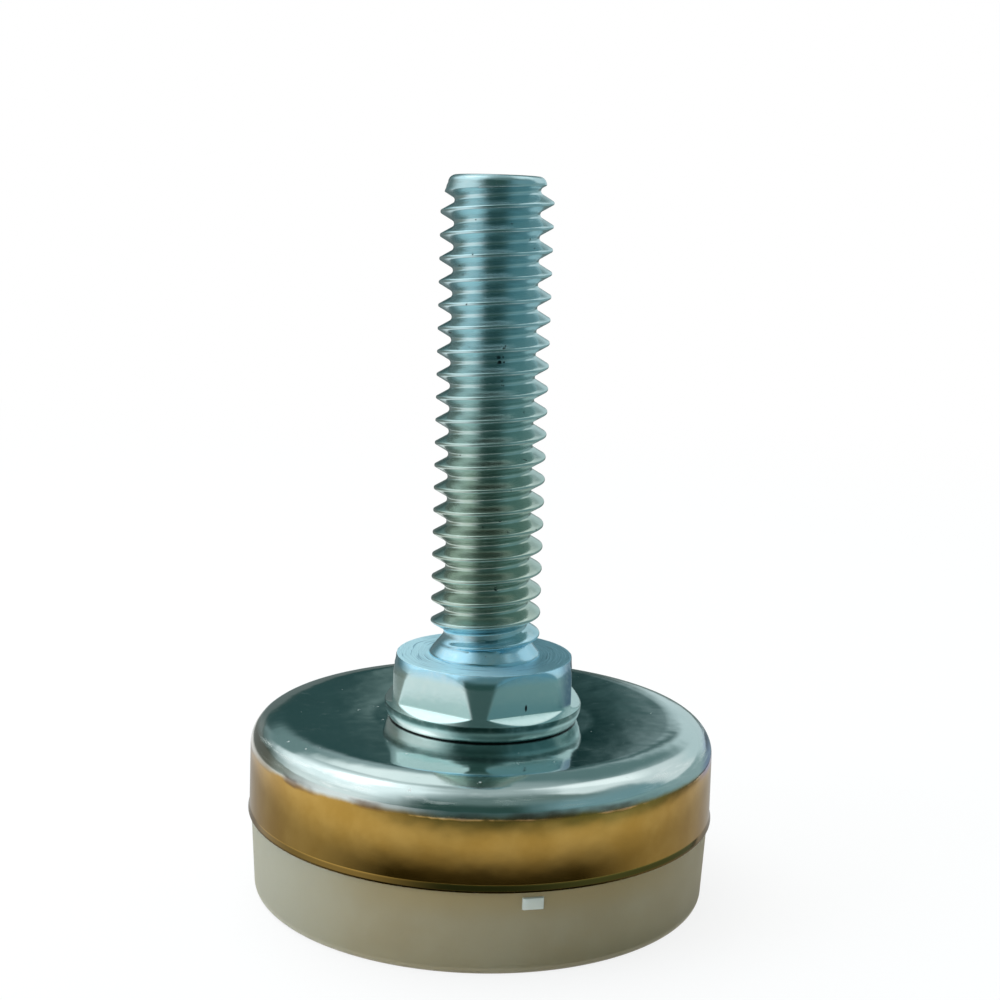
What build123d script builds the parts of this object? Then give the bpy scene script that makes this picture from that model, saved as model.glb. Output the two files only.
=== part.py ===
# Levelling glide for a furniture leg. A cold-headed stud with a rolled thread and a hexagon
# collar is staked into a drawn steel cap, and the cap is pressed over a moulded nylon pad.
# Millimetres, +Z up. The pad stands on Z = 0 and the stud lies along the Z axis.
import os
from math import atan2, ceil, cos, degrees, hypot, radians, sin, tan

from build123d import *

# Thread, twenty turns to the inch
thread_major_d = 6.25
thread_pitch = 25.4 / 20
thread_depth = 0.77
thread_angle = 60
thread_crest = 0.16  # flat left on the crest
thread_sink = 0.6  # the ridge runs out this deep, over half a turn at each end
thread_bury = 0.05  # how far the ridge's foot is inside the core

# Stem and its tip
stem_length = 26.77  # above the collar
runout_h = 1.25  # full thread starts this far above the collar, on the +X side
leadin_h = 1.4  # and ends this far under the tip
tip_d = 5.4
tip_neck_h = 0.4  # cone from the thread's root out to the tip
tip_land_h = 0.25
tip_round = 0.5
tip_dish_d = 3.4
tip_dish = 0.12
foot_flare = 0.045  # foot of the stem, outside the thread
foot_land_h = 0.12
foot_angle = 40  # of the flare, from the axis

# Hexagon collar and its flange
hex_af = 10.0
hex_top_d = 10.4
hex_foot_d = 11.2  # round that the corners are tapered to
hex_h = 2.43
hex_round = 0.3
hex_turn = -1.7  # degrees from one corner looking along -Y
flange_d = 11.26
flange_seat_d = 10.6
flange_h = 1.25
flange_slope = 29  # degrees, of its upper face
flange_bulge = 0.09  # of the rim, outside a straight line

# Tail that is staked over under the cap
tail_d = 4.8
stake_d = 7.4
stake_h = 1.1
stake_round = 0.45

# Drawn cap
cap_d = 26.3
cap_draft = 0.05  # growth of the radius down the wall
cap_h = 5.45  # lower edge to crown
cap_sheet = 0.65
cap_shoulder_r = 1.7
cap_dish = 0.24  # the flange's seat under the crown
cap_seat_d = 12.6
cap_seat_r = 9.0  # bend between the seat and the rise to the crown
cap_lip = 0.08  # how far the lower edge turns out
cap_lip_h = 0.4
cap_lip_land = 0.12
tail_clearance = 0.0  # staking swells the tail until it fills its hole

# Nylon pad
pad_exposed_h = 4.55
pad_setback = 0.18  # its upper edge, inside the cap's lip
pad_taper = 0.225  # loss of the radius down to the floor
pad_edge_r = 0.35
pad_clearance = 0.04
plug_relief = 0.25  # extra rounding, to clear the inside of the cap's shoulder
pocket_clearance = 0.4
gate_w = 1.2
gate_h = 0.68
gate_proud = 0.12
gate_drop = 0.3  # under the cap's edge
gate_turn = 12.5  # degrees from -Y towards +X

# Levels and radii that follow
crown_z = pad_exposed_h + cap_h
seat_z = crown_z - cap_dish
sheet_z = seat_z - cap_sheet
ledge_z = seat_z + flange_h
collar_z = ledge_z + hex_h
tip_z = collar_z + stem_length
major_r = thread_major_d / 2
root_r = major_r - thread_depth
flange_r = flange_d / 2
wall_r = cap_d / 2
seat_r = cap_seat_d / 2
lip_r = wall_r + cap_draft + cap_lip
pad_top_r = lip_r - pad_setback
pad_bottom_r = pad_top_r - pad_taper
plug_r = wall_r - cap_sheet - pad_clearance
pocket_r = stake_d / 2 + pocket_clearance
pocket_z = sheet_z - stake_h - pocket_clearance

# The full thread is made in equal lengths, none over one turn
full_z = collar_z + runout_h
full_h = stem_length - runout_h - leadin_h
turn_count = ceil(full_h / thread_pitch)
turn_h = full_h / turn_count
turn_angle = 360 * turn_h / thread_pitch

# Half section of the thread's ridge, beside the axis
ridge_r = root_r - thread_bury
crest_half = thread_crest / 2
foot_half = crest_half + (major_r - ridge_r) * tan(radians(thread_angle / 2))
ridge = [(ridge_r, -foot_half), (major_r, -crest_half), (major_r, crest_half), (ridge_r, foot_half)]

os.makedirs("parts", exist_ok=True)

# One length of the ridge
with BuildPart() as ridge_turn:
    with BuildLine() as path:
        Helix(thread_pitch, turn_h, major_r)
    with BuildSketch(Plane.XZ):
        Polygon(*ridge, align=None)
    sweep(path=path.line, is_frenet=True)

# Its end, half a turn that sinks into the core
with BuildPart() as ridge_end:
    rise = thread_pitch / 2
    slant = hypot(rise, thread_sink)
    with BuildLine() as path:
        Helix(2 * slant, rise, major_r, cone_angle=-degrees(atan2(thread_sink, rise)))
    with BuildSketch(Plane.XZ):
        Polygon(*ridge, align=None)
    sweep(path=path.line, is_frenet=True)

# Threaded stud, from the collar outwards
with BuildPart() as threaded_stud:
    # hexagon with its corners tapered to a round
    with BuildSketch(Plane.XY.offset(ledge_z)):
        RegularPolygon(hex_af / 2, 6, major_radius=False, rotation=hex_turn - 90)
    extrude(amount=hex_h)
    with BuildSketch(Plane.XZ):
        with BuildLine():
            FilletPolyline(
                (0, ledge_z),
                (hex_foot_d / 2, ledge_z),
                (hex_top_d / 2, collar_z),
                (0, collar_z),
                radius=(0, hex_round),
            )
            Line((0, collar_z), (0, ledge_z))
        make_face()
    revolve(axis=Axis.Z, mode=Mode.INTERSECT)

    # flange with a sloped upper face, and the tail under it
    flange_in = hex_af / 2 - flange_bulge
    slope_z = ledge_z + (flange_r - flange_in) * tan(radians(flange_slope))
    with BuildSketch(Plane.XZ):
        with BuildLine():
            tail = FilletPolyline(
                (0, sheet_z - stake_h),
                (stake_d / 2, sheet_z - stake_h),
                (stake_d / 2, sheet_z),
                (tail_d / 2, sheet_z),
                (tail_d / 2, seat_z),
                (flange_seat_d / 2, seat_z),
                radius=(stake_round, 0, 0, 0),
            )
            rim = SagittaArc(tail @ 1, (flange_r, ledge_z), -flange_bulge)
            Polyline(rim @ 1, (flange_in, slope_z), (0, slope_z), (0, sheet_z - stake_h))
        make_face()
    revolve(axis=Axis.Z)

    # core of the stem: flared foot, root of the thread, neck and rounded, dished tip
    foot_r = major_r + foot_flare
    foot_z = collar_z + foot_land_h
    land_z = tip_z - tip_round
    with BuildSketch(Plane.XZ):
        with BuildLine():
            side = Polyline(
                (0, ledge_z),
                (foot_r, ledge_z),
                (foot_r, foot_z),
                (root_r, foot_z + (foot_r - root_r) / tan(radians(foot_angle))),
                (root_r, land_z - tip_land_h - tip_neck_h),
                (tip_d / 2, land_z - tip_land_h),
                (tip_d / 2, land_z),
            )
            nose = RadiusArc(side @ 1, (tip_d / 2 - tip_round, tip_z), -tip_round)
            Polyline(nose @ 1, (tip_dish_d / 2, tip_z), (0, tip_z - tip_dish), (0, ledge_z))
        make_face()
    revolve(axis=Axis.Z)

    # the thread on the core: equal lengths end to end, then the two ends, the lower one turned over
    lengths = [Location((0, 0, full_z + i * turn_h), (0, 0, i * turn_angle)) for i in range(turn_count)]
    with Locations(*lengths):
        add(ridge_turn.part)
    leadin = Location((0, 0, full_z + full_h), (0, 0, turn_count * turn_angle))
    runout = Location((0, 0, full_z), (180, 0, 0))
    with Locations(leadin, runout):
        add(ridge_end.part)

threaded_stud.part.label = "threaded_stud"
export_step(threaded_stud.part, "parts/threaded_stud.step")

# Steel cap: one thickness of sheet along its outside line
with BuildPart() as steel_cap:
    corner_z = seat_z + cap_dish * (wall_r - seat_r) / (wall_r - cap_shoulder_r - seat_r)
    with BuildSketch(Plane.XZ):
        with BuildLine():
            outside = FilletPolyline(
                (tail_d / 2 + tail_clearance, seat_z),
                (seat_r, seat_z),
                (wall_r, corner_z),
                (wall_r + cap_draft, pad_exposed_h + cap_lip_h),
                (lip_r, pad_exposed_h + cap_lip_land),
                (lip_r, pad_exposed_h),
                radius=(cap_seat_r, cap_shoulder_r, cap_lip_land, cap_lip_land),
            )
            offset(outside, cap_sheet, side=Side.RIGHT)
        make_face()
    revolve(axis=Axis.Z)

steel_cap.part.label = "steel_cap"
export_step(steel_cap.part, "parts/steel_cap.step")

# Nylon pad: the plug inside the cap, the shoulder under the cap's lip, and the tapered foot
with BuildPart() as nylon_pad:
    with BuildSketch(Plane.XZ):
        with BuildLine():
            FilletPolyline(
                (0, 0),
                (pad_bottom_r, 0),
                (pad_top_r, pad_exposed_h),
                (plug_r, pad_exposed_h),
                (plug_r, sheet_z),
                (pocket_r, sheet_z),
                (pocket_r, pocket_z),
                (0, pocket_z),
                radius=(pad_edge_r, 0, 0, cap_shoulder_r - cap_sheet + plug_relief, 0, 0),
            )
            Line((0, pocket_z), (0, 0))
        make_face()
    revolve(axis=Axis.Z)

    # gate mark of the mould, a little pad on the side
    facing = Plane(
        origin=(0, 0, pad_exposed_h - gate_drop - gate_h / 2),
        x_dir=(cos(radians(gate_turn)), sin(radians(gate_turn)), 0),
        z_dir=(sin(radians(gate_turn)), -cos(radians(gate_turn)), 0),
    )
    with BuildSketch(facing.offset(pad_bottom_r - gate_w)):
        Rectangle(gate_w, gate_h)
    extrude(amount=pad_taper + gate_w + gate_proud)

nylon_pad.part.label = "nylon_pad"
export_step(nylon_pad.part, "parts/nylon_pad.step")
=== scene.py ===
import bpy
import math
import numpy as np
from mathutils import Matrix, Vector


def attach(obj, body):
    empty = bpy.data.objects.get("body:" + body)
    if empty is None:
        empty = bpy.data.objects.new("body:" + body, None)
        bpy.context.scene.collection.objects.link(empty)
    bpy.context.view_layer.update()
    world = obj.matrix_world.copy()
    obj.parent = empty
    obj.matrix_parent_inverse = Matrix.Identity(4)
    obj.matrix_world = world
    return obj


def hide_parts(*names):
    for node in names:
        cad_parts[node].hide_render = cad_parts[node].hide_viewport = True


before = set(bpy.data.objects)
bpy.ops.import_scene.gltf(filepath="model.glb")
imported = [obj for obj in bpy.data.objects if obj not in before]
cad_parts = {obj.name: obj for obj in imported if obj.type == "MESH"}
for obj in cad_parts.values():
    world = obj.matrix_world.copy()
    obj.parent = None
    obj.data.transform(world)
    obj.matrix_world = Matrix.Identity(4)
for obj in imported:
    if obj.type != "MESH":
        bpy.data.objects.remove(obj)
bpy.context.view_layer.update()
mm = 0.001
weldGap = 2e-7  # metres


# small tools for meshes

def clearSelection():
    if bpy.context.object and bpy.context.object.mode != "OBJECT":
        bpy.ops.object.mode_set(mode="OBJECT")
    bpy.ops.object.select_all(action="DESELECT")


def only(piece):  # this piece alone is selected and active
    clearSelection()
    piece.select_set(True)
    bpy.context.view_layer.objects.active = piece


def roundCorners(points, steps=8):  # points are radius, height and corner rounding in mm
    line = []
    for i, (r, z, bend) in enumerate(points):
        here = Vector((r, z))
        if not bend or i in (0, len(points) - 1):
            line.append((r, z))
            continue
        back = (Vector(points[i - 1][:2]) - here).normalized()
        ahead = (Vector(points[i + 1][:2]) - here).normalized()
        half = back.angle(ahead) / 2
        middle = here + (back + ahead).normalized() * bend / math.sin(half)
        first = here + back * bend / math.tan(half) - middle
        last = here + ahead * bend / math.tan(half) - middle
        sweep = math.atan2(first.x * last.y - first.y * last.x, first.dot(last))
        count = max(2, round(steps * abs(sweep) / (math.pi / 2)))  # steps to a right angle
        for k in range(count + 1):
            turn = sweep * k / count
            c, s = math.cos(turn), math.sin(turn)
            line.append((middle.x + first.x * c - first.y * s, middle.y + first.x * s + first.y * c))
    return line


def drawLine(name, line):  # a chain of edges in the XZ plane, extruded from one vertex
    clearSelection()
    bpy.ops.mesh.primitive_plane_add(size=mm)
    piece = bpy.context.object
    piece.name = piece.data.name = name
    bpy.ops.object.mode_set(mode="EDIT")
    bpy.ops.mesh.select_all(action="SELECT")
    bpy.ops.mesh.merge(type="CENTER")
    bpy.ops.transform.translate(value=(line[0][0] * mm, 0, line[0][1] * mm))
    for (r0, z0), (r1, z1) in zip(line, line[1:]):
        step = ((r1 - r0) * mm, 0, (z1 - z0) * mm)
        bpy.ops.mesh.extrude_vertices_move(TRANSFORM_OT_translate={"value": step})
    bpy.ops.object.mode_set(mode="OBJECT")
    return piece


def closeMesh(piece):  # welded, with its faces outward
    only(piece)
    bpy.ops.object.mode_set(mode="EDIT")
    bpy.ops.mesh.select_all(action="SELECT")
    bpy.ops.mesh.remove_doubles(threshold=weldGap)
    bpy.ops.mesh.normals_make_consistent(inside=False)
    bpy.ops.object.mode_set(mode="OBJECT")


def lathe(name, line, steps):  # a line of radius and height, spun about the axis
    piece = drawLine(name, line)
    only(piece)
    bpy.ops.object.mode_set(mode="EDIT")
    bpy.ops.mesh.select_all(action="SELECT")
    bpy.ops.mesh.spin(steps=steps, angle=2 * math.pi, center=(0, 0, 0), axis=(0, 0, 1))
    bpy.ops.object.mode_set(mode="OBJECT")
    closeMesh(piece)
    return piece


def readPoints(piece):  # vertex places in mm
    flat = np.empty(len(piece.data.vertices) * 3)
    piece.data.vertices.foreach_get("co", flat)
    return flat.reshape(-1, 3) / mm


def writePoints(piece, places):
    piece.data.vertices.foreach_set("co", (places * mm).ravel())
    piece.data.update()


def between(a, b, parts):  # points that cut the way from a to b into equal parts, b among them
    steps = [k / parts for k in range(1, parts + 1)]
    return [(a[0] + (b[0] - a[0]) * t, a[1] + (b[1] - a[1]) * t) for t in steps]


def softMin(a, b, blend):  # the smaller one, with the change-over rounded
    h = np.maximum(blend - np.abs(a - b), 0) / blend
    return np.minimum(a, b) - h * h * blend / 4


def softMax(a, b, blend):
    return -softMin(-a, -b, blend)


def smoothEdges(piece, angle):
    only(piece)
    bpy.ops.object.shade_smooth_by_angle(angle=math.radians(angle))


def closeEnd(piece, endZ, rings):  # the open rim at this height is extruded through rings of scale and rise
    only(piece)
    mesh = piece.data
    onRim = np.abs(readPoints(piece)[:, 2] - endZ) < 1e-3
    rimEdges = np.array([all(onRim[v] for v in edge.vertices) for edge in mesh.edges])
    mesh.vertices.foreach_set("select", onRim)
    mesh.edges.foreach_set("select", rimEdges)
    mesh.polygons.foreach_set("select", np.zeros(len(mesh.polygons), bool))
    bpy.ops.object.mode_set(mode="EDIT")
    bpy.ops.mesh.select_mode(type="EDGE")
    wasScale, wasRise = 1, 0
    for scale, rise in rings:
        bpy.ops.mesh.extrude_edges_move(TRANSFORM_OT_translate={"value": (0, 0, (rise - wasRise) * mm)})
        if scale:
            share = scale / wasScale
            bpy.ops.transform.resize(value=(share, share, 1), center_override=(0, 0, 0))
        else:
            bpy.ops.mesh.merge(type="CENTER")
        wasScale, wasRise = scale, rise
    bpy.ops.mesh.select_mode(type="VERT")
    bpy.ops.object.mode_set(mode="OBJECT")


# stem with its rolled thread

stem = {
    "majorR": 3.12, "rootR": 2.355, "pitch": 1.27, "crestFlat": 0.13, "crestRound": 0.105, "rootRound": 0.2,
    "flankAngle": 30, "flankLeast": 0.3, "flankParts": 4, "fullZ": 14.69, "turnsBelow": 3, "turns": 24,
    "runoutTurns": 0.5, "runoutSink": 0.6, "belowSink": 9,  # the ridge sinks into the core at the foot
    "footR": 3.165, "footZ": 13.56, "footSlope": 40, "footLow": 13.2, "footBlend": 0.16,
    "chamferZ": 38.86, "chamferR": 3.15, "cutR": 2.84, "cutZ": 39.46, "cutBlend": 0.08, "landR": 2.77,
    "noseZ": 39.75, "noseR": 0.45, "noseParts": 8, "dishR": 1.75, "dishDepth": 0.12, "steps": 128,
    "dishDrop": 0.005, "dishMidR": 0.55, "dishMidDepth": 0.7,  # shares of the dish half way in
}


def makeStem(s):
    half = s["pitch"] / 2
    flank = (s["majorR"] - s["rootR"]) * math.tan(math.radians(s["flankAngle"]))
    crestZ = s["fullZ"] - s["turnsBelow"] * s["pitch"]
    outline = roundCorners([
        (s["rootR"], crestZ - half, 0),
        (s["rootR"], crestZ - flank - s["crestFlat"] / 2, s["rootRound"]),
        (s["majorR"], crestZ - s["crestFlat"] / 2, s["crestRound"]),
        (s["majorR"], crestZ + s["crestFlat"] / 2, s["crestRound"]),
        (s["rootR"], crestZ + flank + s["crestFlat"] / 2, s["rootRound"]),
        (s["rootR"], crestZ + half, 0),
    ], 4)
    dense = [outline[0]]
    for a, b in zip(outline, outline[1:]):
        onFlank = abs(b[0] - a[0]) > s["flankLeast"]
        dense += between(a, b, s["flankParts"] if onFlank else 1)
    piece = drawLine("stem", dense)
    only(piece)
    turn = piece.modifiers.new("thread", "SCREW")
    turn.axis = "Z"
    turn.angle = 2 * math.pi
    turn.screw_offset = s["pitch"] * mm
    turn.iterations = s["turns"]
    turn.steps = turn.render_steps = s["steps"]
    turn.use_merge_vertices = True
    turn.merge_threshold = weldGap
    bpy.ops.object.modifier_apply(modifier="thread")
    closeMesh(piece)

    p = readPoints(piece)
    r = np.hypot(p[:, 0], p[:, 1])
    turns = np.arctan2(p[:, 1], p[:, 0]) / (2 * math.pi)
    z = p[:, 2]
    along = np.round((z - s["fullZ"]) / s["pitch"] - turns) + turns  # turns of thread counted from the foot
    sink = np.clip(-along / s["runoutTurns"], 0, 1) * s["runoutSink"]
    sink += np.clip(-along - s["runoutTurns"], 0, 1) * s["belowSink"]
    made = s["rootR"] + np.maximum(r - s["rootR"] - sink, 0)
    tipZ = [s["chamferZ"], s["cutZ"], s["noseZ"]]
    tipR = [s["chamferR"], s["cutR"], s["landR"]]
    made = softMin(made, np.interp(z, tipZ, tipR), s["cutBlend"])
    flare = s["footR"] - np.maximum(z - s["footZ"], 0) * math.tan(math.radians(s["footSlope"]))
    made = softMax(made, flare, s["footBlend"])
    p[:, :2] *= (made / r)[:, None]
    writePoints(piece, p)

    only(piece)
    bpy.ops.object.mode_set(mode="EDIT")
    for cutZ, up in ((s["footLow"], -1), (s["noseZ"], 1)):
        bpy.ops.mesh.select_all(action="SELECT")
        bpy.ops.mesh.bisect(plane_co=(0, 0, cutZ * mm), plane_no=(0, 0, up),
                            clear_outer=True, threshold=1e-8)
    bpy.ops.mesh.select_all(action="SELECT")
    bpy.ops.mesh.remove_doubles(threshold=1e-6)
    bpy.ops.mesh.select_all(action="DESELECT")
    bpy.ops.object.mode_set(mode="OBJECT")

    closeEnd(piece, s["footLow"], [(0, 0)])
    nose = []
    for k in range(1, s["noseParts"] + 1):
        lean = math.pi / 2 * k / s["noseParts"]
        nose.append((1 - s["noseR"] * (1 - math.cos(lean)) / s["landR"], s["noseR"] * math.sin(lean)))
    dishShare = s["dishR"] / s["landR"]
    nose.append((dishShare, s["noseR"] - s["dishDrop"]))  # the dish starts just under the end face
    nose.append((dishShare * s["dishMidR"], s["noseR"] - s["dishDepth"] * s["dishMidDepth"]))
    nose.append((0, s["noseR"] - s["dishDepth"]))
    closeEnd(piece, s["noseZ"], nose)
    closeMesh(piece)
    smoothEdges(piece, 50)
    return piece


stemPiece = makeStem(stem)
print("stem", len(stemPiece.data.vertices), "vertices")


# hexagon collar, its flange and the tail under it

collar = {
    "acrossFlats": 10.0, "cornerTurn": -91.7, "lowZ": 10.64, "footZ": 11.01, "footR": 5.57,
    "topZ": 13.44, "topR": 5.32, "topRound": 1.2, "topChamfer": 0.36, "topEdge": 0.06, "faceInR": 3.0,
    "bevelZ": 11.15, "bevelSpread": 1.5, "edgeBlend": 0.045, "flatInR": 3.5, "rows": 48, "steps": 480,
    "seatZ": 9.76, "seatR": 5.3, "rimZ": 10.74, "rimR": 5.62, "rimBulge": 0.09, "rimParts": 12,
    "rimEdge": 0.05, "ledgeInR": 4.8, "ledgeSlope": 3, "flangeSteps": 192,
    "tailR": 2.4, "sheetZ": 9.11, "stakeR": 3.7, "stakeZ": 8.01, "stakeRound": 0.45,
}


def makeCollar(c):
    cutZ = c["topZ"] - c["topChamfer"]
    taper = (c["footR"] - c["topR"]) / (cutZ - c["footZ"])
    lowR = c["footR"] + taper * (c["footZ"] - c["lowZ"])
    line = roundCorners([
        (0, c["lowZ"], 0), (lowR, c["lowZ"], 0), (c["topR"], cutZ, c["topRound"]),
        (c["topR"] - c["topChamfer"], c["topZ"], c["topEdge"]), (c["faceInR"], c["topZ"], 0),
        (0, c["topZ"], 0),
    ], 8)
    rows = between(line[1], line[2], c["rows"])
    hexagon = lathe("hexagon", line[:2] + rows + line[3:], c["steps"])
    p = readPoints(hexagon)
    r = np.hypot(p[:, 0], p[:, 1])
    lean = np.degrees(np.arctan2(p[:, 1], p[:, 0])) - c["cornerTurn"]
    bevel = np.maximum(0, c["bevelZ"] - p[:, 2]) * c["bevelSpread"]  # the flats spread at their feet
    flat = (c["acrossFlats"] / 2 + bevel) / np.cos(np.radians((lean % 60) - 30))
    made = np.where(r > c["flatInR"], softMin(r, flat, c["edgeBlend"]), r)
    p[:, :2] *= (made / np.maximum(r, 1e-6))[:, None]
    writePoints(hexagon, p)
    smoothEdges(hexagon, 40)

    rim = []
    for k in range(c["rimParts"]):
        t = k / c["rimParts"]
        bulge = 4 * c["rimBulge"] * t * (1 - t)
        r = c["seatR"] + (c["rimR"] - c["seatR"]) * t + bulge
        rim.append((r, c["seatZ"] + (c["rimZ"] - c["seatZ"]) * t, 0))
    slopeZ = c["rimZ"] + (c["rimR"] - c["ledgeInR"]) * math.tan(math.radians(c["ledgeSlope"]))
    line = roundCorners([
        (0, c["stakeZ"], 0), (c["stakeR"], c["stakeZ"], c["stakeRound"]), (c["stakeR"], c["sheetZ"], 0),
        (c["tailR"], c["sheetZ"], 0), (c["tailR"], c["seatZ"], 0), *rim,
        (c["rimR"], c["rimZ"], c["rimEdge"]), (c["ledgeInR"], slopeZ, 0), (0, slopeZ, 0),
    ], 6)
    flange = lathe("flange", line, c["flangeSteps"])
    smoothEdges(flange, 40)
    return hexagon, flange


hexagonPiece, flangePiece = makeCollar(collar)
only(stemPiece)
hexagonPiece.select_set(True)
flangePiece.select_set(True)
bpy.ops.object.join()  # the stud is one piece of steel
studPiece = stemPiece
studPiece.name = studPiece.data.name = "stud"
print("stud", len(studPiece.data.vertices), "vertices")


# drawn cap

cap = {
    "sheet": 0.65, "holeR": 2.4, "seatZ": 9.76, "seatR": 6.3, "seatBend": 9.0,
    "easeR": 11.33, "easeZ": 10.03, "easeBend": 4.2,  # easy bend before the tight shoulder
    "wallR": 13.15, "cornerZ": 9.37, "shoulder": 1.5, "shoulderIn": 1.05,
    "draftR": 13.2, "lipTopZ": 4.95, "lipTopBend": 0.12, "lipR": 13.275, "lipZ": 4.67, "lipBend": 0.1,
    "edgeZ": 4.55, "edgeOut": 0.05, "edgeIn": 0.03, "steps": 320,
}


def makeCap(c):
    t = c["sheet"]
    outside = [
        (c["holeR"], c["seatZ"], 0), (c["seatR"], c["seatZ"], c["seatBend"]),
        (c["easeR"], c["easeZ"], c["easeBend"]), (c["wallR"], c["cornerZ"], c["shoulder"]),
        (c["draftR"], c["lipTopZ"], c["lipTopBend"]), (c["lipR"], c["lipZ"], c["lipBend"]),
        (c["lipR"], c["edgeZ"], c["edgeOut"]),
    ]
    inside = [
        (c["lipR"] - t, c["edgeZ"], c["edgeIn"]), (c["lipR"] - t, c["lipZ"], 0),
        (c["draftR"] - t, c["lipTopZ"], 0), (c["wallR"] - t, c["easeZ"] - t, c["shoulderIn"]),
        (c["seatR"], c["seatZ"] - t, 0), (c["holeR"], c["seatZ"] - t, 0),
    ]
    line = roundCorners(outside + inside, 18)
    piece = lathe("cap", line + line[:1], c["steps"])
    smoothEdges(piece, 40)
    return piece


capPiece = makeCap(cap)
print("cap", len(capPiece.data.vertices), "vertices")


# moulded pad with its gate mark

pad = {
    "bottomR": 12.875, "edge": 0.35, "topR": 13.1, "topZ": 4.55, "topEdge": 0.05,
    "plugR": 12.46, "plugZ": 9.11, "plugRound": 1.3, "pocketR": 4.1, "pocketZ": 7.61, "steps": 256,
    "gateTurn": -77.5, "gateW": 1.08, "gateH": 0.62, "gateDeep": 1.0, "gateZ": 3.91, "gateProud": 0.12,
    "gateSoft": 0.05,
}


def makePad(d):
    line = roundCorners([
        (0, 0, 0), (d["bottomR"], 0, d["edge"]), (d["topR"], d["topZ"], d["topEdge"]),
        (d["plugR"], d["topZ"], 0), (d["plugR"], d["plugZ"], d["plugRound"]),
        (d["pocketR"], d["plugZ"], 0), (d["pocketR"], d["pocketZ"], 0), (0, d["pocketZ"], 0),
    ], 10)
    body = lathe("pad", line, d["steps"])
    clearSelection()
    bpy.ops.mesh.primitive_cube_add(size=1)
    gate = bpy.context.object
    outR = d["bottomR"] + (d["topR"] - d["bottomR"]) * d["gateZ"] / d["topZ"] + d["gateProud"]
    bpy.ops.transform.resize(value=(d["gateDeep"] * mm, d["gateW"] * mm, d["gateH"] * mm))
    bpy.ops.transform.translate(value=((outR - d["gateDeep"] / 2) * mm, 0, d["gateZ"] * mm))
    bpy.ops.object.transform_apply(location=True, rotation=True, scale=True)
    bpy.ops.object.mode_set(mode="EDIT")
    bpy.ops.mesh.select_all(action="SELECT")
    bpy.ops.mesh.bevel(offset=d["gateSoft"] * mm, segments=2, affect="EDGES")
    bpy.ops.object.mode_set(mode="OBJECT")
    gate.data.transform(Matrix.Rotation(math.radians(d["gateTurn"]), 4, "Z"))
    only(body)
    gate.select_set(True)
    bpy.ops.object.join()
    smoothEdges(body, 40)
    return body


padPiece = makePad(pad)
print("pad", len(padPiece.data.vertices), "vertices")

pieces = (
    (studPiece, "threaded_stud", "plated_steel"),
    (capPiece, "steel_cap", "plated_cap"),
    (padPiece, "nylon_pad", "nylon"),
)
for piece, node, slot in pieces:
    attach(piece, "root")
    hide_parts(node)


# shader maths

class Flow:
    def __init__(self, tree, socket=None):
        self.tree = tree
        self.socket = socket

    def node(self, kind, settings=None, links=None, out=0):
        made = self.tree.nodes.new("ShaderNode" + kind)
        for key, value in (settings or {}).items():
            setattr(made, key, value)
        for key, value in (links or {}).items():
            if isinstance(value, Flow):
                self.tree.links.new(value.socket, made.inputs[key])
            else:
                made.inputs[key].default_value = value
        return Flow(self.tree, made.outputs[out])

    def maths(self, operation, *values):
        return self.node("Math", {"operation": operation}, dict(enumerate(values)))

    def __add__(self, other):
        return self.maths("ADD", self, other)

    __radd__ = __add__

    def __sub__(self, other):
        return self.maths("SUBTRACT", self, other)

    def __rsub__(self, other):
        return self.maths("SUBTRACT", other, self)

    def __mul__(self, other):
        return self.maths("MULTIPLY", self, other)

    __rmul__ = __mul__

    def step(self, low, high):  # 0 below low, 1 above high, smooth between
        return self.node("MapRange", {"interpolation_type": "SMOOTHSTEP"},
                         {"Value": self, "From Min": low, "From Max": high, "To Min": 0.0, "To Max": 1.0})

    def blend(self, a, b):  # colour a where this is 0, colour b where it is 1
        return self.node("Mix", {"data_type": "RGBA"}, {0: self, 6: a, 7: b}, 2)

    def noise(self, place, scale, detail=3.0, rough=0.5, warp=0.0):
        return self.node("TexNoise", {}, {"Vector": place, "Scale": scale, "Detail": detail,
                                          "Roughness": rough, "Distortion": warp})

    def stretched(self, place, scale):
        return self.node("Mapping", {}, {"Vector": place, "Scale": scale})


def newMaterial(name):
    made = bpy.data.materials.new(name)
    made.use_nodes = True
    tree = made.node_tree
    flow = Flow(tree)
    place = flow.stretched(flow.node("TexCoord", out=3), (1 / mm, 1 / mm, 1 / mm))  # object places in mm
    split = flow.node("SeparateXYZ", {}, {0: place}).socket.node
    x, y, z = (Flow(tree, split.outputs[i]) for i in range(3))
    return made, flow, tree.nodes["Principled BSDF"], place, x, y, z


def feed(flow, shader, name, value):
    flow.tree.links.new(value.socket, shader.inputs[name])


def bumped(flow, shader, height, strength, distance):
    bump = flow.node("Bump", {}, {"Strength": strength, "Distance": distance, "Height": height})
    flow.tree.links.new(bump.socket, shader.inputs["Normal"])


zinc = {
    "stemLowShaded": (0.47, 0.57, 0.50, 1), "stemTop": (0.50, 0.69, 0.73, 1), "foot": (0.42, 0.70, 0.84, 1),
    "collar": (0.54, 0.71, 0.70, 1), "side": (0.15, 0.25, 0.34, 1), "mottle": (0.66, 0.76, 0.74, 1),
    "rimTopShade": (0.05, 0.13, 0.12, 1), "rimLeftHighlight": (0.95, 0.98, 0.96, 1), "rimRightShade": (0.22, 0.36, 0.35, 1),
    "faceLeftLit": (0.60, 0.88, 0.97, 1), "faceRightShaded": (0.34, 0.62, 0.74, 1),
    "toolMark": (0.24, 0.45, 0.56, 1), "pit": (0.03, 0.045, 0.05, 1), "jointShadow": (0.015, 0.02, 0.02, 1),
    "nickAt": (2.37, -4.40, 4.62),  # x, y and 0.4 of the height, in mm
}


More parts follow.
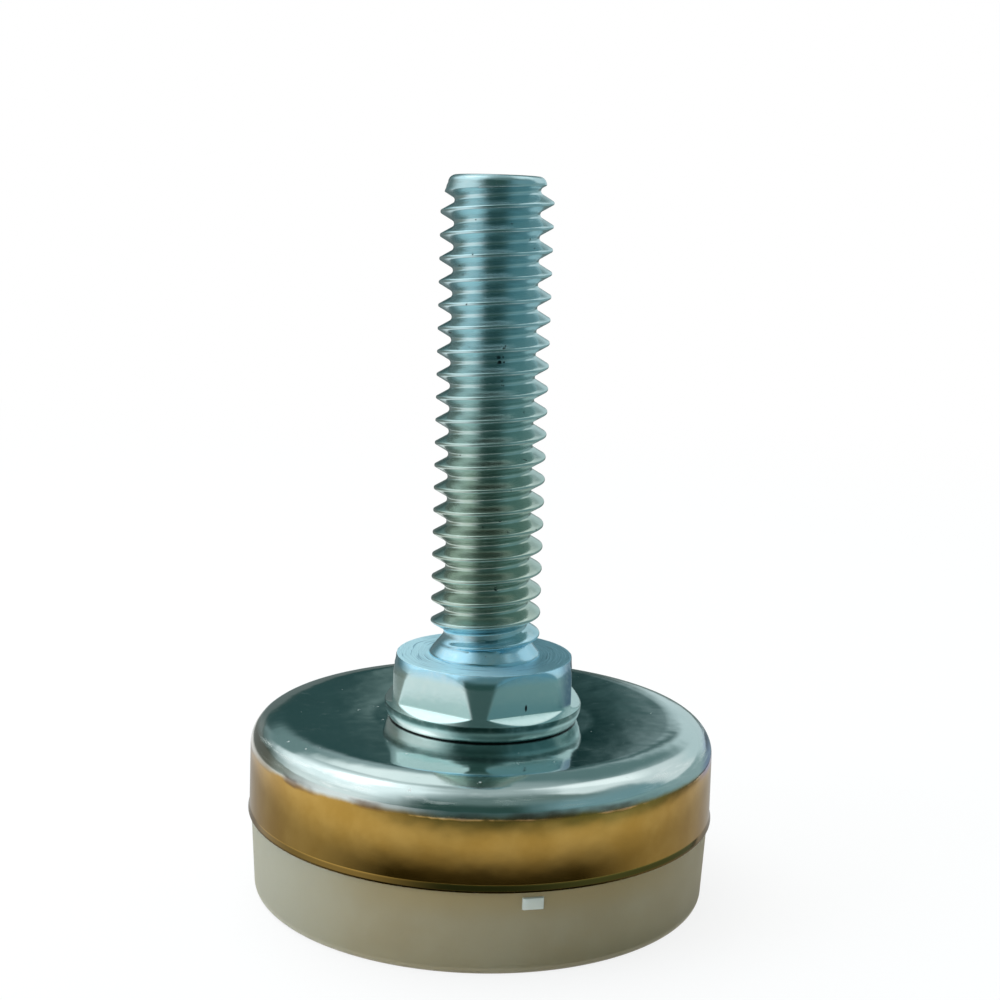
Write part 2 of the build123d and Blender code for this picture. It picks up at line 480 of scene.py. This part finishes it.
def zincBlue(tint):
    made, flow, shader, place, x, y, z = newMaterial("zincBlue")
    topZ, bevelZ, rimZ, seatZ = (collar[key] for key in ("topZ", "bevelZ", "rimZ", "seatZ"))
    onStem = z.step(topZ + 0.06, topZ + 0.26)
    faced = z.step(topZ - 0.03, topZ - 0.01) - z.step(topZ + 0.01, topZ + 0.03)  # turned top of the collar
    cloud = flow.noise(place, 0.35, 3)
    # the lower threads are darker and greener: painted shade
    colour = (z + cloud * 6).step(23, 37).blend(tint["stemLowShaded"], tint["stemTop"])
    colour = z.step(topZ - 0.44, topZ - 0.14).blend(tint["collar"], colour)
    foot = z.step(topZ - 0.74, topZ - 0.09) * (1 - (z + cloud * 1.5).step(14.9, 17.2))
    colour = foot.blend(colour, tint["foot"])
    # dark band on the upper part of the flange's rim: painted dark reflection
    rimTopShade = z.step(rimZ - 0.44, rimZ - 0.22) - z.step(rimZ - 0.01, rimZ + 0.02)
    colour = (rimTopShade * 0.9).blend(colour, tint["rimTopShade"])
    # lower part of the flange's rim: painted highlight on the left, painted shade on the right
    rimLowLight = 1 - z.step(rimZ - 0.64, rimZ - 0.34)
    colour = rimLowLight.blend(colour, x.step(-3.5, -1).blend(tint["rimLeftHighlight"], tint["rimRightShade"]))
    side = x.step(4.0, 4.8) * z.step(bevelZ + 0.05, bevelZ + 0.25) * (1 - onStem)
    colour = side.blend(colour, tint["side"])  # darker, bluer right side of the collar: painted shade
    mottle = flow.noise(place, 1.6, 5, 0.6).step(0.45, 0.8)
    colour = (mottle * 0.4).blend(colour, tint["mottle"])
    far = flow.maths("SQRT", x * x + y * y) + cloud * 0.6
    lines = flow.noise(flow.node("CombineXYZ", {}, {0: far, 1: x * 0.08, 2: y * 0.05}), 7.0, 2, 0.6)
    # turned top face: painted highlight on the left, painted shade on the right
    shadeRightward = (x + y * 0.4).step(-3.5, 3.5)
    faceLight = shadeRightward.blend(tint["faceLeftLit"], tint["faceRightShaded"])
    colour = faced.blend(colour, lines.step(0.56, 0.68).blend(faceLight, tint["toolMark"]))
    pits = flow.noise(place, 2.3, 2, 0.5).step(0.735, 0.76) * onStem
    nick = flow.node("VectorMath", {"operation": "DISTANCE"},
                     {0: flow.stretched(place, (1, 1, 0.4)), 1: tint["nickAt"]}, 1)  # a dent in one flat
    pits = flow.maths("MAXIMUM", pits, 1 - nick.step(0.05, 0.095))
    colour = pits.blend(colour, tint["pit"])
    colour = z.step(seatZ + 0.04, seatZ + 0.11).blend(tint["jointShadow"], colour)  # painted contact shadow where the flange sits on the cap
    feed(flow, shader, "Base Color", colour)
    rough = 0.11 + 0.04 * onStem + 0.12 * flow.noise(place, 0.9, 4)
    feed(flow, shader, "Roughness", rough + 0.4 * pits + 0.25 * faced)
    feed(flow, shader, "Metallic", 1 - 0.5 * faced * (1 - shadeRightward))  # half metallic on the left of the turned top, so that side lights paler
    rings = flow.noise(flow.stretched(place, (0.5, 0.5, 14)), 1.0, 3, 0.6) * z.step(13.6, 14.2)
    bumped(flow, shader, rings * 0.3 + flow.noise(place, 2.0, 4) * 0.5 + lines * faced * 5, 0.35, 0.00003)
    return made


plate = {
    "silver": (0.62, 0.71, 0.70, 1), "silverPale": (0.70, 0.78, 0.77, 1),
    "goldReflection": (0.42, 0.25, 0.052, 1), "goldReflectionPale": (0.50, 0.315, 0.08, 1), "lip": (0.19, 0.12, 0.03, 1),
    "edgeDark": (0.16, 0.085, 0.035, 1), "violet": (0.14, 0.15, 0.46, 1), "leftDarkReflection": (0.24, 0.20, 0.13, 1),
    "glint": (0.92, 0.95, 0.93, 1), "speck": (0.9, 0.93, 0.92, 1),
}


def capPlate(tint):
    made, flow, shader, place, x, y, z = newMaterial("capPlate")
    cloud = flow.noise(place, 0.22, 3)
    waver = flow.noise(place, 0.45, 4, 0.55)
    edge = z + (waver - 0.5) * 0.5  # the wavy upper edge of the painted warm reflection
    # gold side wall: painted reflection of a warm tabletop
    goldReflection = 1 - edge.step(8.3, 8.65)
    silver = cloud.step(0.3, 0.7).blend(tint["silver"], tint["silverPale"])
    warmReflected = waver.step(0.3, 0.7).blend(tint["goldReflection"], tint["goldReflectionPale"])
    colour = goldReflection.blend(silver, warmReflected)
    # darker reddish patches along the upper edge of the gold
    edgeDark = (edge.step(8.2, 8.4) - edge.step(8.6, 8.8)) * cloud.step(0.46, 0.58)
    colour = (edgeDark * 0.75).blend(colour, tint["edgeDark"])
    violet = (x - z * 0.4).step(8.3, 9.2) * (z.step(7.9, 8.5) - z.step(9.3, 9.8))
    colour = (violet * 0.8).blend(colour, tint["violet"])
    # darker at the foot of the side wall: painted shade
    colour = z.step(4.85, 5.0).blend(tint["lip"], colour)
    leftDarkReflection = (1 - x.step(-11.6, -10.6)) * (z.step(8.2, 8.5) - z.step(9.2, 9.5))  # painted darker, browner reflection on the left of the shoulder
    colour = (leftDarkReflection * 0.7).blend(colour, tint["leftDarkReflection"])
    shoulderGlints = flow.noise(flow.stretched(place, (0.3, 0.3, 3.0)), 1.0, 4, 0.6).step(0.5, 0.72)
    shoulderGlints = shoulderGlints * (z.step(8.75, 9.0) - z.step(9.4, 9.65))  # painted highlight streaks along the shoulder
    colour = (shoulderGlints * 0.9).blend(colour, tint["glint"])
    specks = flow.noise(place, 2.4, 2, 0.5).step(0.75, 0.775) * z.step(8.8, 9.3)
    colour = specks.blend(colour, tint["speck"])
    feed(flow, shader, "Base Color", colour)
    shader.inputs["Metallic"].default_value = 1
    feed(flow, shader, "Roughness", 0.07 + 0.07 * flow.noise(place, 0.5, 4) + 0.28 * shoulderGlints + 0.4 * specks)
    scratch = flow.noise(flow.stretched(place, (0.35, 5, 5)), 1.0, 3, 0.6, 2.5).step(0.68, 0.78)
    waves = flow.noise(place, 0.42, 2) * (3 - goldReflection * 2)
    bumped(flow, shader, scratch * (1 - goldReflection) * 0.25 + waves, 0.25, 0.00004)
    return made


nylon = {
    "body": (0.365, 0.285, 0.165, 1), "bodyPale": (0.39, 0.315, 0.195, 1),
    "paleLitSide": (0.38, 0.342, 0.254, 1), "warmReflected": (0.37, 0.26, 0.11, 1), "gate": (0.80, 0.77, 0.62, 1),
}


def nylonNatural(tint):
    made, flow, shader, place, x, y, z = newMaterial("nylonNatural")
    cloud = flow.noise(place, 0.3, 4)
    colour = cloud.step(0.3, 0.7).blend(tint["body"], tint["bodyPale"])
    # paler towards the left: painted light
    colour = x.step(-12, -4).blend(tint["paleLitSide"], colour)
    warmReflectedMask = z.step(2.6, 4.4) * (x.step(-9, -1) - x.step(7, 13)) * (1 - y.step(-9, -5))
    colour = (warmReflectedMask * 0.8).blend(colour, tint["warmReflected"])  # painted warm light reflected from the cap's gold
    turn = math.radians(pad["gateTurn"])
    halfW, lowZ, topZ = pad["gateW"] / 2, pad["gateZ"] - pad["gateH"] / 2, pad["gateZ"] + pad["gateH"] / 2
    out = x * math.cos(turn) + y * math.sin(turn)
    aside = flow.maths("ABSOLUTE", x * math.sin(turn) - y * math.cos(turn))
    gate = out.step(12.99, 13.05) * (1 - aside.step(halfW, halfW + 0.04))
    gate = gate * (z.step(lowZ - 0.04, lowZ) - z.step(topZ, topZ + 0.04))
    colour = gate.blend(colour, tint["gate"])  # cut gate, paler
    feed(flow, shader, "Base Color", colour)
    feed(flow, shader, "Roughness", 0.42 + 0.12 * flow.noise(place, 1.2, 3))
    shader.inputs["Subsurface Weight"].default_value = 0.5
    shader.inputs["Subsurface Radius"].default_value = (1.0, 0.9, 0.7)
    shader.inputs["Subsurface Scale"].default_value = 0.0012
    bumped(flow, shader, flow.noise(place, 6, 3), 0.15, 0.00003)
    return made


finishes = (zincBlue(zinc), capPlate(plate), nylonNatural(nylon))
for (piece, node, slot), finish in zip(pieces, finishes):
    for dressed in (piece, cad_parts[node]):
        dressed.data.materials.clear()
        dressed.data.materials.append(finish)
print("finishes set")


# studio: floor, low white surround, shade, soft sky and lamps

def paperWhite(name, near, away):  # the camera and the metal see it white, and a part of the shadow stays
    made, flow, shader, place, x, y, z = newMaterial(name)
    shader.inputs["Base Color"].default_value = (0.86, 0.86, 0.86, 1)
    shader.inputs["Roughness"].default_value = 0.9
    path = flow.node("LightPath").socket.node
    rays = ("Is Camera Ray", "Is Glossy Ray", "Is Transmission Ray")
    seen, glossy, through = (Flow(flow.tree, path.outputs[ray]) for ray in rays)
    glow = flow.node("Emission", {}, {"Color": (1, 1, 1, 1), "Strength": 1.0})
    glowShare = flow.maths("SQRT", x * x + y * y).step(40, 260) * (away - near) + near
    share = flow.maths("MINIMUM", seen + glossy + through, 1.0) * glowShare
    mixed = flow.node("MixShader", {}, {0: share, 1: Flow(flow.tree, shader.outputs[0]), 2: glow})
    flow.tree.links.new(mixed.socket, flow.tree.nodes["Material Output"].inputs[0])
    return made


def makeFloor(size, wallHeight):
    clearSelection()
    bpy.ops.mesh.primitive_circle_add(vertices=96, radius=size, fill_type="NGON")
    floor = bpy.context.object
    floor.name = "floor"
    floor.data.materials.append(paperWhite("floorWhite", 0.85, 1.0))
    bpy.ops.object.select_all(action="DESELECT")
    bpy.ops.mesh.primitive_cylinder_add(vertices=96, radius=size, depth=wallHeight, end_fill_type="NOTHING",
                                        location=(0, 0, wallHeight / 2))
    surround = bpy.context.object
    surround.name = "surround"
    bpy.ops.object.transform_apply(location=True, rotation=True, scale=True)
    surround.data.materials.append(paperWhite("surroundWhite", 1.0, 1.0))


makeFloor(1.2, 0.23)


# soft dark card on the floor and round its edge, which only the metal sees
darkCard = {
    "radius": 0.6, "height": 0.16, "lift": 0.0004,
    "under": (0.03, 0.03, 0.018, 1), "front": (0.03, 0.08, 0.075, 1), "right": (0.20, 0.335, 0.345, 1),
    "farRight": (0.29, 0.41, 0.42, 1), "backRight": (0.14, 0.19, 0.18, 1), "board": (0.57, 0.70, 0.72, 1),
    "back": (0.045, 0.085, 0.08, 1), "backLeft": (0.13, 0.16, 0.15, 1), "left": (0.20, 0.22, 0.18, 1),
}


def makeShade(s):
    clearSelection()
    bpy.ops.mesh.primitive_circle_add(vertices=128, radius=s["radius"], fill_type="NGON",
                                      location=(0, 0, s["lift"]))
    shade = bpy.context.object
    shade.name = "shade"
    bpy.ops.object.transform_apply(location=True, rotation=True, scale=True)
    bpy.ops.object.mode_set(mode="EDIT")
    bpy.ops.mesh.select_all(action="SELECT")
    bpy.ops.mesh.select_mode(type="EDGE")
    bpy.ops.mesh.region_to_loop()
    bpy.ops.mesh.extrude_edges_move(TRANSFORM_OT_translate={"value": (0, 0, s["height"])})
    bpy.ops.mesh.select_mode(type="VERT")
    bpy.ops.object.mode_set(mode="OBJECT")
    shade.data.materials.append(shadeMaterial(s))
    shade.visible_camera = shade.visible_diffuse = shade.visible_shadow = shade.visible_transmission = False


def shadeMaterial(s):
    made, flow, shader, place, x, y, z = newMaterial("shade")
    far = flow.maths("SQRT", x * x + y * y)
    turn = flow.maths("ARCTAN2", x, 0 - y) * (180 / math.pi)  # from straight in front towards the right
    front = turn.step(-65, -12)
    behind = 1 - turn.step(-112, -74)
    right = turn.step(25, 75)
    under = (turn.step(-75, -20) - right) * 0.42 + 0.55 - right * 0.12
    nearShare = (1 - far.step(26.5, 35)) * under + front * 0.12
    ringEnd = 36.6 - turn.step(20, 120) * 5  # a pale ring is left on the floor round the part
    frontShare = (far - ringEnd).step(-0.8, 1.5) * front * 0.96
    farShare = flow.maths("MAXIMUM", frontShare, far.step(42, 75) * behind * 0.9) * (1 - z.step(125, 158))
    colour = turn.step(5, 70).blend(s["front"], s["right"])
    colour = turn.step(85, 118).blend(colour, s["farRight"])
    colour = turn.step(138, 152).blend(colour, s["backRight"])
    colour = behind.blend(colour, turn.step(-140, -105).blend(s["backLeft"], s["left"]))
    back = turn.step(170, 175) - turn.step(-160, -152) + 1  # straight behind
    colour = back.blend(colour, s["back"])
    board = (turn.step(132, 144) - turn.step(169, 174)) * z.step(5, 30)
    colour = board.blend(colour, s["board"])
    colour = far.step(33, 37).blend(s["under"], colour)
    glow = flow.node("Emission", {}, {"Color": colour, "Strength": 1.0})
    clear = flow.node("BsdfTransparent")
    mixed = flow.node("MixShader", {}, {0: flow.maths("MAXIMUM", nearShare, farShare), 1: clear, 2: glow})
    flow.tree.links.new(mixed.socket, flow.tree.nodes["Material Output"].inputs[0])
    return made


makeShade(darkCard)


def makeSky(cards):
    world = bpy.data.worlds.new("studio")
    bpy.context.scene.world = world
    world.use_nodes = True
    tree = world.node_tree
    flow = Flow(tree)
    split = flow.node("SeparateXYZ", {}, {0: flow.node("TexCoord", out=0)}).socket.node
    x, y, z = (Flow(tree, split.outputs[i]) for i in range(3))
    turn = flow.maths("ARCTAN2", x, y) * (180 / math.pi)
    height = flow.maths("ARCSINE", z) * (180 / math.pi)
    colour = height.step(20, 80).blend((0.20, 0.30, 0.31, 1), (0.42, 0.50, 0.50, 1))
    for az, el, wide, tall, softX, softY, light in cards:
        aside = flow.maths("ABSOLUTE", flow.maths("WRAP", turn - az, -180.0, 180.0))
        across = 1 - aside.step(wide - softX, wide + softX)
        rise = flow.maths("ABSOLUTE", height - el)
        along = 1 - rise.step(tall - softY, tall + softY)
        colour = (across * along).blend(colour, (*light, 1))
    flow.tree.links.new(colour.socket, tree.nodes["Background"].inputs["Color"])


# each card, in degrees: turn from straight behind towards the right, height, half width, half height
# and how soft its sides and its ends are; last its light
sky = [
    (180, 15, 45, 33, 12, 12, (0.035, 0.08, 0.07)),  # dim room
    (150, 56, 50, 17, 12, 12, (0.16, 0.23, 0.22)),  # its ceiling
    (105, 12, 45, 30, 16, 16, (0.20, 0.34, 0.37)),  # blue wall
    (0, 20, 75, 24, 12, 10, (0.30, 0.40, 0.41)),  # wall behind
    (52, 40, 26, 32, 7, 7, (0.76, 0.84, 0.85)),  # pale board
    (46, 56, 17, 11, 6, 6, (1.12, 1.18, 1.18)),  # top of the board
    (84, 61, 24, 9, 8, 5, (0.86, 0.94, 0.94)),  # right of it
    (27, 14, 19, 13, 6, 5, (0.60, 0.73, 0.75)),  # foot of the board
    (-9.4, 16, 14.6, 10, 2.8, 4, (0.03, 0.075, 0.075)),  # dark gap
    (1.8, 18, 1.8, 7, 1.6, 4, (0.004, 0.025, 0.025)),  # darkest of it
    (-1.9, 19, 0.9, 2.5, 1.2, 2.5, (0.19, 0.28, 0.27)),  # gleam in it
    (8, 20, 5, 2.2, 2.5, 1.6, (0.06, 0.12, 0.12)),  # dark right of it
    (11, 37, 12, 12, 5, 5, (0.13, 0.22, 0.22)),  # dark column
    (-60, 8, 36, 14, 10, 10, (0.14, 0.20, 0.195)),  # dim corner
    (-85, 52, 50, 27, 20, 9, (1.12, 1.22, 1.24)),  # window
    (-14, 50, 12, 13, 5, 5, (1.0, 1.1, 1.1)),  # its other half
    (-70, 58, 22, 10, 8, 6, (1.7, 1.78, 1.8)),  # brightest of it
    (-26, 28, 12, 8, 4, 4, (0.18, 0.28, 0.28)),  # dark under that
    (-100, 13, 33, 14, 24, 8, (0.95, 1.02, 1.02)),  # under the window
]
makeSky(sky)


def makeLamp(name, place, aim, size, watts, tint):
    data = bpy.data.lights.new(name, "AREA")
    data.shape = "DISK"
    data.size = size
    data.energy = watts
    data.color = tint
    lamp = bpy.data.objects.new(name, data)
    bpy.context.scene.collection.objects.link(lamp)
    lamp.location = place
    lamp.rotation_euler = (Vector(aim) - Vector(place)).to_track_quat("-Z", "Y").to_euler()
    lamp.visible_glossy = False
    lamp.visible_camera = False


makeLamp("topLamp", (-0.1, 0.1, 0.4), (0, 0, 0), 0.4, 1.2, (1, 1, 1))
makeLamp("leftLamp", (-0.3, -0.12, 0.12), (0, 0, 0.005), 0.2, 0.5, (0.66, 0.84, 1))
print("studio set")


# camera at the photograph's place

view = {
    "place": (0, -90, 37.12), "down": 0.163, "yaw": 0.007, "roll": 0.031,  # mm and radians
    "focal": 1622, "across": 1000, "sensor": 36,  # focal length in pixels of a picture this far across
}


def makeCamera(v):
    data = bpy.data.cameras.new("camera")
    data.sensor_width = v["sensor"]
    data.lens = v["focal"] / v["across"] * v["sensor"]
    data.clip_start = 0.001
    camera = bpy.data.objects.new("camera", data)
    bpy.context.scene.collection.objects.link(camera)
    level = Vector((math.sin(v["yaw"]), math.cos(v["yaw"]), 0)) * math.cos(v["down"])
    ahead = level - Vector((0, 0, math.sin(v["down"])))
    right = Vector((math.cos(v["yaw"]), -math.sin(v["yaw"]), 0))
    up = right.cross(ahead)
    turn = Matrix.Rotation(-v["roll"], 3, ahead)
    right, up = turn @ right, turn @ up
    spin = Matrix((right, up, -ahead)).transposed().to_4x4()
    camera.matrix_world = Matrix.Translation(Vector(v["place"]) * mm) @ spin
    bpy.context.scene.camera = camera


makeCamera(view)
bpy.context.scene.view_settings.view_transform = "Standard"
